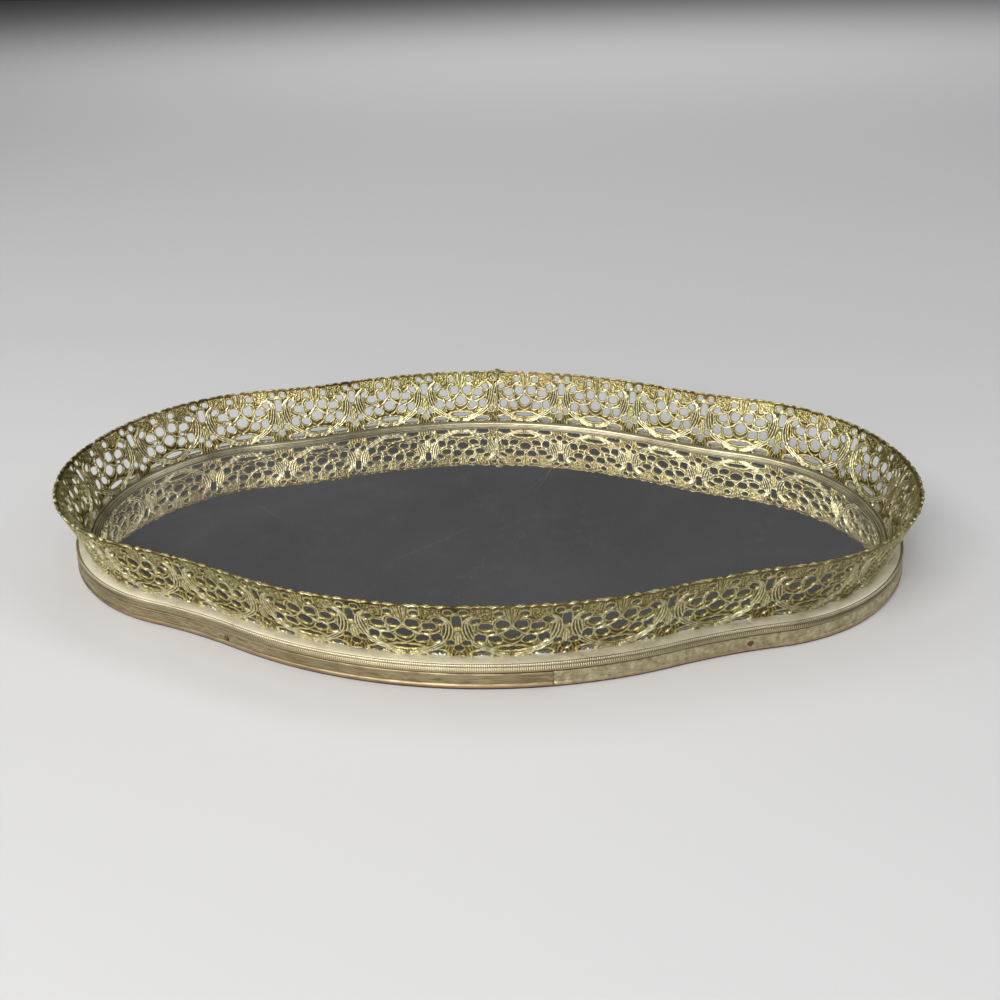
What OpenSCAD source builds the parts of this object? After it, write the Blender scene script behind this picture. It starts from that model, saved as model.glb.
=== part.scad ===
// Mirror vanity tray: a bulged oval with hollow waists, a moulded brass rim and a flared
// openwork gallery. Millimetres, +Z up. The origin is the middle of the underside, on the
// surface that the tray stands on. +X runs along the length and -Y is the front.

/* [Outline] */
// Length of the rim from end to end
rim_length = 454; // [448:2:464]
// Width of the rim across the two bulges
rim_width = 278; // [272:2:282]
// Radius of the two round ends
end_r = 101; // [99:1:103]
// Radius of the front and back bulges
bulge_r = 243; // [238:1:250]
// Radius of the four hollow waists
waist_r = 310; // [280:5:330]

/* [Base and mirror] */
// Thickness of the felt underneath
felt_t = 0.8; // [0.6:0.1:1.2]
// Thickness of the hardboard base
board_t = 6.4; // [6:0.1:6.6]
// Thickness of the card behind the mirror
card_t = 0.8; // [0.6:0.1:1]
// Thickness of the mirror glass
glass_t = 3; // [2.8:0.1:3.2]

/* [Gallery] */
// Height of the gallery above the rim's shelf
gallery_rise = 31.5; // [26:0.5:36]
// How far the gallery leans out from its foot to its top
gallery_flare = 9; // [6:0.5:10]
// Thickness of the gallery's sheet
gallery_t = 0.9; // [0.8:0.1:1.2]
// Number of times the openwork pattern repeats
motif_count = 24; // [22:1:26]
// Length of the lap where the gallery's two ends meet
lap = 5; // [3:0.5:6]

/* [Hidden] */
$fn = 96;

// Heights, from the underside up
board_z = felt_t;
card_z = board_z + board_t;
glass_z = card_z + card_t;
glass_top = glass_z + glass_t;
shelf_z = 13.8;
skirt_top = 8.4;

// Distances inside the rim's outer edge
felt_in = 0.9;
board_in = 2.4;
skirt_in = 1.6;
skirt_face_in = 0.6;
glass_in = 9.1;
leg_in = 9;
sheet = 0.8;
gallery_foot_in = 7.8;

// Brads through the skirt band, one at each waist. A turn is the angle from the middle of
// the waist towards the end: [[back right, front right], [front left, back left]]
brad_turns = [[0, 2], [-3.9, 0]];
brad_z = 4.9;
brad_d = 1.8;
brad_head_d = 3.8;
brad_head_t = 0.6;
brad_len = 11;
brad_hole_len = 12;

// The end's and the bulge's centres in the back right quarter
end_c = [rim_length / 2 - end_r, 0];
bulge_c = [0, rim_width / 2 - bulge_r];

// The waist's centre, where its circle touches the other two from outside
reach = norm(bulge_c - end_c);
end_to_waist = end_r + waist_r;
bulge_to_waist = bulge_r + waist_r;
along = (end_to_waist ^ 2 - bulge_to_waist ^ 2 + reach ^ 2) / (2 * reach);
across = sqrt(end_to_waist ^ 2 - along ^ 2);
toward = (bulge_c - end_c) / reach;
waist_c = end_c + toward * along + [toward.y, -toward.x] * across;

function direction(from, to) = atan2(to.y - from.y, to.x - from.x);

end_half = direction(end_c, waist_c);
bulge_start = direction(bulge_c, waist_c);
bulge_half = 90 - bulge_start;
waist_start = direction(waist_c, bulge_c);
waist_span = direction(waist_c, end_c) - waist_start;
waist_mid = waist_start + waist_span / 2;

// The outline as arcs, counter-clockwise from the middle of the back:
// [centre, radius, first angle, turn, outward sign]
function back_left(p) = [-p.x, p.y];
function front_left(p) = [-p.x, -p.y];
function front_right(p) = [p.x, -p.y];
waist_end = waist_start + waist_span;
arcs = [
    [bulge_c, bulge_r, 90, bulge_half, 1],
    [back_left(waist_c), waist_r, 180 - waist_start, -waist_span, -1],
    [back_left(end_c), end_r, 180 - end_half, 2 * end_half, 1],
    [front_left(waist_c), waist_r, 180 + waist_end, -waist_span, -1],
    [front_right(bulge_c), bulge_r, 270 - bulge_half, 2 * bulge_half, 1],
    [front_right(waist_c), waist_r, -waist_start, -waist_span, -1],
    [end_c, end_r, -end_half, 2 * end_half, 1],
    [waist_c, waist_r, waist_end, -waist_span, -1],
    [bulge_c, bulge_r, bulge_start, bulge_half, 1]
];

// Motifs are spaced along the gallery at half its height
gallery_mid_in = gallery_foot_in - gallery_flare / 2;
function arc_length(a) = (a[1] - a[4] * gallery_mid_in) * abs(a[3]) * PI / 180;
function sum(list, i = 0) = i == len(list) ? 0 : list[i] + sum(list, i + 1);
gallery_length = sum([for (a = arcs) arc_length(a)]);
motif = (gallery_length + lap) / motif_count;

// Distance of the gallery's seam from the middle of the back
seam_at = 4.7;

// [centre, angle, radius, outward sign] at a distance along the gallery
function station(s, i = 0) =
    let (a = arcs[i], l = arc_length(a))
    s > l && i < len(arcs) - 1 ? station(s - l, i + 1) : [a[0], a[2] + a[3] * s / l, a[1], a[4]];

// Puts its children on the gallery at distance s and height fraction v, facing outward
module on_gallery(s, v) {
    st = station((s + gallery_length) % gallery_length);
    out = st[3] * (v * gallery_flare - gallery_foot_in);
    lean = atan2(gallery_flare, gallery_rise);
    translate([st[0].x, st[0].y, shelf_z + v * gallery_rise])
        rotate(st[1])
            translate([st[2] + out, 0, 0])
                rotate([0, 90 + st[3] * lean, 0])
                    children();
}

// Sweeps a section round the outline. The section's x is the distance outside the rim's
// outer edge and its y is the height.
module sweep() {
    for (half = [0, 180])
        rotate(half) {
            translate(end_c)
                arc_sweep(-end_half, 2 * end_half)
                    translate([end_r, 0])
                        children();
            translate(bulge_c)
                arc_sweep(bulge_start, 2 * bulge_half)
                    translate([bulge_r, 0])
                        children();
            for (flip = [0, 1])
                mirror([0, flip, 0])
                    translate(waist_c)
                        arc_sweep(waist_start, waist_span)
                            translate([waist_r, 0])
                                mirror([1, 0])
                                    children();
        }
}

// One arc of a sweep. Its ends stop a hair short, so that neighbouring arcs of one piece
// meet without their end faces being merged.
module arc_sweep(start, angle) {
    hair = 0.003;
    rotate(start + hair)
        rotate_extrude(angle = angle - 2 * hair, $fn = 256)
            children();
}

// The outline as a flat plate, inset from the rim's outer edge
module plate(inset, thickness) {
    linear_extrude(thickness, $fn = 256)
        union() {
            intersection() {
                translate(bulge_c)
                    circle(bulge_r - inset);
                translate(-bulge_c)
                    circle(bulge_r - inset);
            }
            for (half = [0, 180])
                rotate(half) {
                    translate(end_c)
                        circle(end_r - inset);
                    for (flip = [0, 1])
                        mirror([0, flip])
                            difference() {
                                polygon([end_c, waist_c, bulge_c]);
                                translate(waist_c)
                                    circle(waist_r + inset);
                            }
                }
        }
}

// Puts its children at each brad's place on the rim's outer edge, facing outward
module at_waists() {
    for (half = [0, 1])
        for (flip = [0, 1])
            rotate(180 * half)
                mirror([0, flip, 0])
                    translate(waist_c)
                        rotate(waist_mid + brad_turns[half][flip])
                            translate([waist_r, 0, brad_z])
                                rotate([0, -90, 0])
                                    children();
}

module brad_holes() {
    at_waists()
        translate([0, 0, -brad_hole_len])
            cylinder(h = brad_hole_len, d = brad_d);
}

module base_felt() {
    color("maroon")
        plate(felt_in, felt_t);
}

module base_board() {
    color("sienna")
        difference() {
            translate([0, 0, board_z])
                plate(board_in, board_t);
            brad_holes();
        }
}

module backing_card() {
    color("tan")
        translate([0, 0, card_z])
            plate(glass_in, card_t);
}

module mirror_plate() {
    color("lightsteelblue")
        translate([0, 0, glass_z])
            plate(glass_in, glass_t);
}

// The lower band of the rim: an upright strip with a rolled lip at the bottom
module skirt_band() {
    lip_r = 1.1;
    color("goldenrod")
        difference() {
            sweep()
                union() {
                    translate([-lip_r, felt_t + lip_r])
                        circle(lip_r, $fn = 32);
                    translate([-skirt_in, felt_t + lip_r])
                        square([skirt_in - skirt_face_in, skirt_top - felt_t - lip_r]);
                }
            brad_holes();
        }
}

// The upper moulding: a hollow stamped channel with a cove, a bead and a flat shelf
module top_moulding() {
    bead_c = [-1.6, 12.3];
    bead_r = 0.95;
    flange_z = 3.2;
    bead = [for (a = [-60 : 30 : 120]) bead_c + bead_r * [cos(a), sin(a)]];
    cove = [[-0.7, skirt_top], [-0.7, 9.2], [-1, 10.2], [-1.5, 11.2]];
    shelf = [[-2.8, 12.9], [-4.5, 13.4], [-6.3, shelf_z], [-leg_in, shelf_z]];
    inner_leg = [[-leg_in, card_z], [sheet - leg_in, card_z], [sheet - leg_in, 13]];
    underside = [[-6.2, 13], [-4.3, 12.5], [-2.8, 11.9], [-board_in, 11.2]];
    flange = [[-board_in, flange_z], [-skirt_in, flange_z], [-skirt_in, skirt_top]];
    color("khaki")
        difference() {
            sweep()
                polygon(concat(cove, bead, shelf, inner_leg, underside, flange));
            brad_holes();
        }
}

// The bead moulding that holds the mirror's edge down
module inner_bezel() {
    crest = 13.4;
    lip = glass_top + 0.8;
    middle = (crest + lip) / 2 + 0.1;
    color("palegoldenrod")
        sweep()
            polygon([
                [-leg_in, glass_top], [-leg_in, crest - 0.2], [-10, crest],
                [-11.2, middle], [-12.4, lip], [-12.6, glass_top]
            ]);
}

// The gallery's plain wall, moved outward by shift
module gallery_section(shift = 0) {
    foot = shift - gallery_foot_in - gallery_t / 2;
    top_z = shelf_z + gallery_rise;
    polygon([
        [foot, shelf_z], [foot + gallery_t, shelf_z],
        [foot + gallery_t + gallery_flare, top_z], [foot + gallery_flare, top_z]
    ]);
}

// The second thickness where one end of the gallery laps over the other, outside
module gallery_lap() {
    st = station(seam_at);
    turn = lap / (bulge_r - gallery_mid_in) * 180 / PI;
    translate(st[0])
        arc_sweep(st[1] - turn, turn)
            translate([st[2], 0])
                gallery_section(gallery_t);
}

module opening(s, v, d) {
    depth = 6;
    on_gallery(s, v)
        cylinder(h = depth, d = d, center = true, $fn = 24);
}

module slot(s) {
    depth = 6;
    slot_w = 3.4;
    slot_h = 7;
    on_gallery(s, 0.71)
        linear_extrude(depth, center = true)
            square([slot_h, slot_w], center = true);
}

module gallery_openings() {
    for (i = [1 : motif_count - 1])
        slot(seam_at + i * motif);
    for (i = [0 : motif_count - 1]) {
        middle = seam_at + (i + 0.5) * motif;
        opening(middle, 0.45, 5);
        for (side = [-1, 1]) {
            opening(middle + side * 0.085 * motif, 0.65, 5);
            opening(middle + side * 0.235 * motif, 0.6, 5);
        }
    }
}

module gallery_strip() {
    color("darkkhaki")
        difference() {
            union() {
                sweep()
                    gallery_section();
                gallery_lap();
            }
            gallery_openings();
        }
}

// The solder fillet along the gallery's foot, outside
module gallery_solder() {
    leg = 0.9;
    face = gallery_t / 2 - gallery_foot_in;
    color("silver")
        sweep()
            polygon([
                [face, shelf_z], [face + leg, shelf_z],
                [face + leg * gallery_flare / gallery_rise, shelf_z + leg]
            ]);
}

// The solder lump over the top edge of the gallery's seam
module seam_solder() {
    lump_r = 2;
    sheet_gap = 0.05;
    slit_t = 2 * gallery_t + 2 * sheet_gap;
    color("silver")
        on_gallery(seam_at, 1)
            difference() {
                sphere(lump_r, $fn = 48);
                translate([0, -2 * lump_r, -gallery_t / 2 - sheet_gap])
                    cube([2 * lump_r, 4 * lump_r, slit_t]);
            }
}

module brads() {
    color("dimgray")
        at_waists() {
            translate([0, 0, -brad_len])
                cylinder(h = brad_len, d = brad_d);
            translate([0, 0, -skirt_face_in])
                cylinder(h = brad_head_t, d = brad_head_d);
        }
}

base_felt();
base_board();
backing_card();
mirror_plate();
skirt_band();
top_moulding();
inner_bezel();
gallery_strip();
gallery_solder();
seam_solder();
brads();
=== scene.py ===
import math

import bpy
import numpy as np
from mathutils import Matrix, Vector


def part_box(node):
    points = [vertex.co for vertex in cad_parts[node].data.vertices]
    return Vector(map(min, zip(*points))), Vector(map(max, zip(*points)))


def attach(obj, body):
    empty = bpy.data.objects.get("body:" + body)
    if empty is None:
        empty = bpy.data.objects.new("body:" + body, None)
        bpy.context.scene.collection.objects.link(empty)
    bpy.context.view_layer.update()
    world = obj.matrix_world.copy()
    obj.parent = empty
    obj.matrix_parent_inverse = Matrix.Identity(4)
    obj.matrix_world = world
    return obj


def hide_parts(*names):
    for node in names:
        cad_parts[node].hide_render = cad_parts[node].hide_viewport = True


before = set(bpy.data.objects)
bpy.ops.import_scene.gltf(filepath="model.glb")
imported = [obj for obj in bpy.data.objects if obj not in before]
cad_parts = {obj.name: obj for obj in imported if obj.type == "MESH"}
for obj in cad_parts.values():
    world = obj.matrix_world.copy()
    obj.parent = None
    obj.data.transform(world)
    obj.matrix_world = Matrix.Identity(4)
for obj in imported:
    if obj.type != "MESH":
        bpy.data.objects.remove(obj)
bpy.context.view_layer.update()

MM = 0.001

# ---------------------------------------------------------------- sizes, in millimetres


def box_mm(node):
    """A CAD node's lowest and highest corners, in millimetres."""
    low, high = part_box(node)
    return np.array(low) / MM, np.array(high) / MM


skirt_low, skirt_high = box_mm("skirt_band")
gallery_low, gallery_high = box_mm("gallery_strip")
glass_low, glass_high = box_mm("mirror_plate")
bezel_top = box_mm("inner_bezel")[1][2]

# The rim's outline is arcs: a round end, a hollow waist and a bulge in each quarter.
END_R = 101.0
BULGE_R = 243.0
WAIST_R = 310.0
rim_length = skirt_high[0] - skirt_low[0]
rim_width = skirt_high[1] - skirt_low[1]

# The gallery stands on the rim's shelf, leans out and repeats one motif. Its seam is a little
# way round from the middle of the back, and its two ends lap there.
shelf_z = gallery_low[2]
gallery_rise = gallery_high[2] - shelf_z
GALLERY_FOOT_IN = 7.8
GALLERY_FLARE = 9.0
SLANT = math.hypot(gallery_rise, GALLERY_FLARE)
LEAN = math.atan2(GALLERY_FLARE, gallery_rise)
MOTIFS = 24
LAP = 5.0
SEAM_AT = 4.7

# The rim's skirt band, the moulding over it, and the brads
SKIRT_TOP = 8.4
SKIRT_FACE_IN = 0.6
LIP_R = 1.1
LEG_IN = 9.0
REED_PITCH = 1.0
BRAD_Z = 4.9
BRAD_TURNS = {1: 0.0, 3: 3.9, 5: 2.0, 7: 0.0}  # waist arc: degrees past its middle

# ---------------------------------------------------------------- the outline


def outline_arcs():
    """Arcs counter-clockwise from the middle of the back: centre, radius, angle, turn, sign."""
    end = np.array([rim_length / 2 - END_R, 0.0])
    bulge = np.array([0.0, rim_width / 2 - BULGE_R])
    reach = np.linalg.norm(bulge - end)
    to_end = END_R + WAIST_R
    to_bulge = BULGE_R + WAIST_R
    along = (to_end**2 - to_bulge**2 + reach**2) / (2 * reach)
    across = math.sqrt(to_end**2 - along**2)
    toward = (bulge - end) / reach
    waist = end + toward * along + np.array([toward[1], -toward[0]]) * across

    def direction(a, b):
        return math.atan2(b[1] - a[1], b[0] - a[0])

    end_half = direction(end, waist)
    bulge_start = direction(bulge, waist)
    bulge_half = math.pi / 2 - bulge_start
    first = direction(waist, bulge)
    last = direction(waist, end)
    span = last - first
    left, both, front = np.array([-1, 1]), np.array([-1, -1]), np.array([1, -1])
    return [
        (bulge, BULGE_R, math.pi / 2, bulge_half, 1),
        (waist * left, WAIST_R, math.pi - first, -span, -1),
        (end * left, END_R, math.pi - end_half, 2 * end_half, 1),
        (waist * both, WAIST_R, math.pi + last, -span, -1),
        (bulge * front, BULGE_R, 1.5 * math.pi - bulge_half, 2 * bulge_half, 1),
        (waist * front, WAIST_R, -first, -span, -1),
        (end, END_R, -end_half, 2 * end_half, 1),
        (waist, WAIST_R, last, -span, -1),
        (bulge, BULGE_R, bulge_start, bulge_half, 1),
    ]


ARCS = outline_arcs()
GALLERY_MID_IN = GALLERY_FOOT_IN - GALLERY_FLARE / 2
ARC_LENGTHS = np.array([(r - sign * GALLERY_MID_IN) * abs(turn) for _, r, _, turn, sign in ARCS])
ARC_ENDS = np.cumsum(ARC_LENGTHS)
LENGTH = ARC_ENDS[-1]
MOTIF = (LENGTH + LAP) / MOTIFS
SKIRT_SEAM = 0.5 * LENGTH + 49.0
REED_STATIONS = round(LENGTH / REED_PITCH) * 4


def path(s, out, z):
    """Points at distance s along the gallery's middle line, out from the rim's edge, at z."""
    s = np.mod(s, LENGTH)
    i = np.minimum(np.searchsorted(ARC_ENDS, s, side="right"), len(ARCS) - 1)
    centre = np.array([a[0] for a in ARCS])[i]
    radius = np.array([a[1] for a in ARCS])[i]
    start = np.array([a[2] for a in ARCS])[i]
    turn = np.array([a[3] for a in ARCS])[i]
    sign = np.array([a[4] for a in ARCS])[i]
    angle = start + turn * (s - ARC_ENDS[i] + ARC_LENGTHS[i]) / ARC_LENGTHS[i]
    r = radius + sign * out
    return np.stack([
        centre[..., 0] + r * np.cos(angle),
        centre[..., 1] + r * np.sin(angle),
        np.broadcast_to(z, r.shape),
    ], axis=-1)


def wave(s, sizes, seed):
    """A smooth closed random curve along the path: one amplitude for each number of cycles."""
    phases = np.random.default_rng(seed).uniform(0, 2 * math.pi, len(sizes))
    turns = 2 * math.pi * s / LENGTH
    return sum(a * np.sin(n * turns + p) for (n, a), p in zip(sizes, phases))


# ---------------------------------------------------------------- meshes


def make_mesh(name, points_mm, faces, marks=None):
    """A smooth mesh object from arrays. faces is a list of index arrays, one row a face."""
    me = bpy.data.meshes.new(name)
    me.vertices.add(len(points_mm))
    me.vertices.foreach_set("co", (points_mm * MM).astype(np.float32).ravel())
    loops = np.concatenate([f.ravel() for f in faces]).astype(np.int32)
    counts = np.concatenate([np.full(len(f), f.shape[1]) for f in faces])
    starts = np.concatenate([[0], np.cumsum(counts)[:-1]]).astype(np.int32)
    me.loops.add(len(loops))
    me.loops.foreach_set("vertex_index", loops)
    me.polygons.add(len(counts))
    me.polygons.foreach_set("loop_start", starts)
    for mark, values in (marks or {}).items():
        layer = me.attributes.new(mark, "FLOAT", "POINT")
        layer.data.foreach_set("value", values.astype(np.float32).ravel())
    me.update(calc_edges=True)
    me.validate()
    me.shade_smooth()
    ob = bpy.data.objects.new(name, me)
    bpy.context.scene.collection.objects.link(ob)
    return ob


def ring_faces(stations, sides):
    """Faces of a tube that closes both round its section and along its path."""
    i, j = np.meshgrid(np.arange(stations), np.arange(sides), indexing="ij")
    i2, j2 = (i + 1) % stations, (j + 1) % sides
    return np.stack([i * sides + j, i * sides + j2, i2 * sides + j2, i2 * sides + j], -1).reshape(-1, 4)


def swept_ring(name, section, stations, shape=None, marks=None):
    """Sweeps a closed section of (out, z) points, clockwise, round the whole rim."""
    section = np.array(section, float)
    s = np.linspace(0, LENGTH, stations, endpoint=False)[:, None]
    out = np.broadcast_to(section[:, 0], (stations, len(section))).copy()
    z = np.broadcast_to(section[:, 1], out.shape).copy()
    if shape:
        out, z = shape(s, out, z)
    points = path(np.broadcast_to(s, out.shape), out, z).reshape(-1, 3)
    values = {k: f(s, out, z) for k, f in (marks or {}).items()}
    return make_mesh(name, points, [ring_faces(stations, len(section))], values)


def arc_points(centre, radius, first, last, count):
    """Points of an arc in a section, angles in degrees."""
    angles = np.radians(np.linspace(first, last, count))
    return [(centre[0] + radius * math.cos(a), centre[1] + radius * math.sin(a)) for a in angles]


# ---------------------------------------------------------------- the gallery's motif

# One motif, as its right half: x is the distance from its middle and y the height up the
# flared wall, both in millimetres. The left half mirrors it.
EDGE = MOTIF / 2

# Round openings: x, y, half-width, half-height, turn in degrees, squareness
HOLES = [
    (EDGE, 22.8, 1.85, 3.75, 0, 4.0),
    (20.6, 29.0, 1.55, 1.5, 0, 2.2),
    (5.7, 27.9, 1.75, 1.65, 0, 2.4),
    (15.8, 23.2, 2.35, 1.55, -38, 2.3),
    (11.4, 19.4, 2.9, 2.25, 8, 2.6),
    (4.1, 20.9, 2.75, 2.75, 0, 2.4),
    (0.0, 14.2, 3.6, 3.1, 0, 1.7),
    (14.3, 11.8, 2.35, 2.8, 10, 2.4),
    (7.7, 11.2, 2.95, 2.15, 28, 2.2),
    (9.3, 15.4, 1.5, 0.8, -14, 2.0),
    (20.2, 8.7, 1.75, 1.7, 0, 2.1),
    (EDGE, 5.3, 2.0, 2.1, 0, 1.6),
    (13.9, 1.6, 4.0, 1.75, 0, 2.4),
]
LENS = (4.9, 6.0, 1.3)  # height of its middle, half-width, half-height

# The reeded C-scroll: its outer and inner edges, between which the reeds are spaced
SCROLL_OUTER = [(16.9, 26.9), (19.5, 25.2), (21.4, 21.9), (21.9, 17.8), (21.2, 13.6), (19.4, 9.9),
                (16.8, 7.1), (13.6, 4.9), (9.6, 2.5), (5.6, 0.7), (1.0, -0.9)]
SCROLL_INNER = [(17.6, 25.7), (18.9, 23.7), (19.3, 20.9), (18.9, 17.6), (18.1, 14.4), (16.9, 11.6),
                (14.9, 9.0), (12.2, 6.7), (8.6, 4.3), (5.4, 2.5), (1.0, 1.3)]
REEDS = 3

# Wires: width, height and points
WIRES = [
    (0.42, 0.42, [(8.7, 17.9), (9.0, 21.0), (11.6, 22.3), (14.2, 21.0), (15.0, 18.2)]),
    (0.48, 0.55, [(4.2, 25.1), (6.9, 24.9), (8.4, 22.8), (8.5, 20.0), (7.9, 17.3), (6.9, 15.0)]),
    (0.40, 0.42, [(4.6, 24.0), (6.3, 23.6), (7.2, 21.9), (7.2, 19.8), (6.7, 17.2)]),
    (0.42, 0.45, [(2.7, 25.6), (1.5, 22.9), (0.0, 20.2)]),
    (0.48, 0.55, [(0.0, 20.2), (2.0, 18.0), (4.3, 15.7), (7.4, 14.1), (10.6, 13.9), (13.2, 14.9),
                  (15.9, 16.8)]),
    (0.38, 0.40, [(0.0, 18.3), (2.3, 16.8), (4.3, 14.3), (5.0, 12.9), (4.2, 10.8), (2.4, 8.9),
                  (0.0, 7.8)]),
    (0.42, 0.45, [(10.7, 13.9), (10.9, 11.4), (10.4, 9.0), (9.5, 7.3)]),
    (0.42, 0.45, [(9.2, 4.9), (6.8, 6.3), (3.4, 6.9), (0.0, 7.0)]),
    (0.45, 0.50, [(18.6, 0.2), (17.7, 2.9), (14.2, 4.0), (11.2, 3.2), (10.0, 0.8)]),
    (0.42, 0.45, [(22.0, 17.4), (21.75, 22.8), (22.1, 27.6), (23.0, 28.4), (EDGE, 28.7)]),
    (0.36, 0.38, [(22.0, 17.4), (23.0, 17.2), (EDGE, 17.6)]),
    (0.36, 0.40, [(8.2, 31.2), (8.3, 28.0), (8.6, 24.9)]),
    (0.34, 0.36, [(9.2, 31.0), (9.2, 28.6), (9.6, 25.9)]),
    (0.36, 0.38, [(4.2, 29.9), (5.9, 30.6), (7.4, 29.6), (7.6, 26.8), (5.9, 26.0), (4.2, 26.5)]),
    (0.36, 0.38, [(18.4, 28.4), (18.9, 30.4), (20.6, 31.0), (22.3, 30.2)]),
    (0.50, 0.50, [(22.9, 14.6), (22.6, 12.2), (22.9, 9.0)]),
    (0.55, 0.55, [(EDGE, 13.6), (EDGE, 8.2)]),
    (0.40, 0.40, [(21.3, 13.2), (21.4, 11.6), (20.2, 10.9)]),
    (0.40, 0.40, [(17.4, 8.6), (18.2, 6.2), (17.6, 4.6)]),
    (0.36, 0.38, [(1.6, 31.2), (1.4, 27.6), (0.8, 24.0)]),
    (0.45, 0.48, [(16.2, 25.2), (17.5, 22.6), (17.6, 19.6), (17.0, 16.6), (16.6, 13.6)]),
    (0.42, 0.42, [(15.2, 21.6), (16.3, 19.4), (15.9, 16.8), (13.6, 15.2)]),
    (0.40, 0.40, [(16.9, 12.6), (15.4, 9.9), (12.4, 7.9), (9.2, 6.9)]),
    (0.40, 0.40, [(11.2, 13.4), (12.0, 10.4), (11.2, 8.2)]),
    (0.40, 0.42, [(18.0, 27.9), (16.2, 26.4), (13.4, 24.6), (11.4, 23.2), (9.0, 23.4)]),
    (0.34, 0.36, [(21.6, 5.6), (20.6, 3.4), (20.4, 0.0)]),
    (0.34, 0.36, [(22.9, 3.0), (22.1, 1.4), (21.9, 0.0)]),
    (0.34, 0.36, [(19.5, 5.8), (18.9, 3.9), (18.9, 2.6)]),
    (0.34, 0.36, [(EDGE, 2.8), (EDGE, 0.0)]),
    (0.36, 0.40, [(12.6, 16.4), (10.2, 15.9), (8.6, 16.2)]),
    (0.36, 0.40, [(12.2, 9.0), (13.8, 8.3), (15.8, 9.0)]),
]

# Small round beads: x, y, radius, height
BEADS = [
    (9.6, 13.9, 0.75, 0.62), (7.0, 14.3, 0.7, 0.6), (0.0, 18.2, 0.75, 0.62),
    (0.0, 7.4, 0.8, 0.62), (EDGE, 15.5, 1.15, 0.62), (10.2, 16.3, 0.55, 0.5),
    (12.1, 7.6, 0.5, 0.45), (21.6, 10.9, 0.5, 0.45),
]

# Notches between the lobes of the top edge: place, depth, width
TOP_NOTCHES = [(0, 1.2, 1.5), (4.3, 0.35, 0.8), (8.1, 0.5, 0.9), (12.6, 0.3, 0.8),
               (17.3, 0.55, 0.9), (EDGE, 0.7, 1.1)]

# The pebbled panel under the top edge: its left, right, low and high edges
PANEL = (9.6, 17.4, 24.6, 31.2)
PEBBLE = 0.98  # spacing of the pebbles


def smooth_line(points, steps=7):
    """A Catmull-Rom curve through the points."""
    p = np.array(points, float)
    p = np.vstack([2 * p[0] - p[1], p, 2 * p[-1] - p[-2]])
    t = np.linspace(0, 1, steps, endpoint=False)[:, None]
    runs = []
    for a, b, c, d in zip(p[:-3], p[1:-2], p[2:-1], p[3:]):
        runs.append(0.5 * (2 * b + (c - a) * t + (2 * a - 5 * b + 4 * c - d) * t**2
                           + (3 * b - a - 3 * c + d) * t**3))
    return np.vstack(runs + [p[-2:-1]])


def distance_to_line(x, y, line):
    """The distance from each point to a polyline."""
    best = np.full(x.shape, 1e9)
    for (ax, ay), (bx, by) in zip(line[:-1], line[1:]):
        dx, dy = bx - ax, by - ay
        t = np.clip(((x - ax) * dx + (y - ay) * dy) / (dx * dx + dy * dy), 0, 1)
        best = np.minimum(best, (x - ax - t * dx) ** 2 + (y - ay - t * dy) ** 2)
    return np.sqrt(best)


def ridge(d, width):
    """A rounded ridge's height, from 1 on its line to 0 at its edge."""
    return np.clip(1 - (d / width) ** 2, 0, 1)


def rise(value, low, high):
    """0 below low, 1 above high and smooth between."""
    t = np.clip((value - low) / (high - low), 0, 1)
    return t * t * (3 - 2 * t)


def window(value, low, high, soft):
    """1 from low to high, falling smoothly to 0 over a width of soft on each side."""
    return rise(value, low - soft, low) * (1 - rise(value, high, high + soft))


def opening_field(x, y):
    """About the distance outside the nearest opening, negative inside it."""
    field = np.full(x.shape, 1e9)
    for hx, hy, rx, ry, turn, power in HOLES:
        c, s = math.cos(math.radians(turn)), math.sin(math.radians(turn))
        for side in (1, -1) if hx == 0 else (1,):
            dx, dy = (x - hx) * side, y - hy
            a, b = np.abs(c * dx + s * dy) / rx, np.abs(c * dy - s * dx) / ry
            r = (a**power + b**power) ** (1 / power)
            field = np.minimum(field, (r - 1) * min(rx, ry))
    middle, half_w, half_h = LENS
    bow = 0.35 * np.cos(np.clip(x / half_w, 0, 1) * 3 * math.pi)
    r = np.hypot(x / half_w, (y - middle - 0.1 * bow) / (half_h + 0.25 * bow))
    return np.minimum(field, (r - 1) * half_h)


def pebbles(x, y):
    """Round pebbles on a jittered grid, from 0 to 1."""
    height = np.zeros(x.shape)
    column, row = np.floor(x / PEBBLE), np.floor(y / PEBBLE)
    for i in (-1, 0, 1):
        for j in (-1, 0, 1):
            cx, cy = column + i, row + j
            jx = np.mod(np.sin(cx * 127.1 + cy * 311.7) * 43758.5, 1)
            jy = np.mod(np.sin(cx * 269.5 + cy * 183.3) * 43758.5, 1)
            d = np.hypot(x - (cx + 0.1 + 0.8 * jx) * PEBBLE, y - (cy + 0.1 + 0.8 * jy) * PEBBLE)
            height = np.maximum(height, (0.6 + 0.4 * jx) * ridge(d, 0.42 + 0.2 * jy))
    return height


def top_edge(x):
    """The scalloped top edge's height above the foot, along one motif."""
    height = np.full(np.shape(x), SLANT + 0.25)
    for place, depth, width in TOP_NOTCHES:
        height = height - depth * np.exp(-(((x - place) / width) ** 2))
    return height


SCROLL_REEDS = [
    smooth_line(np.array(SCROLL_OUTER) * (1 - f) + np.array(SCROLL_INNER) * f)
    for f in np.linspace(0, 1, REEDS)
]
WIRE_LINES = [(w, h, smooth_line(p)) for w, h, p in WIRES]


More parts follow.
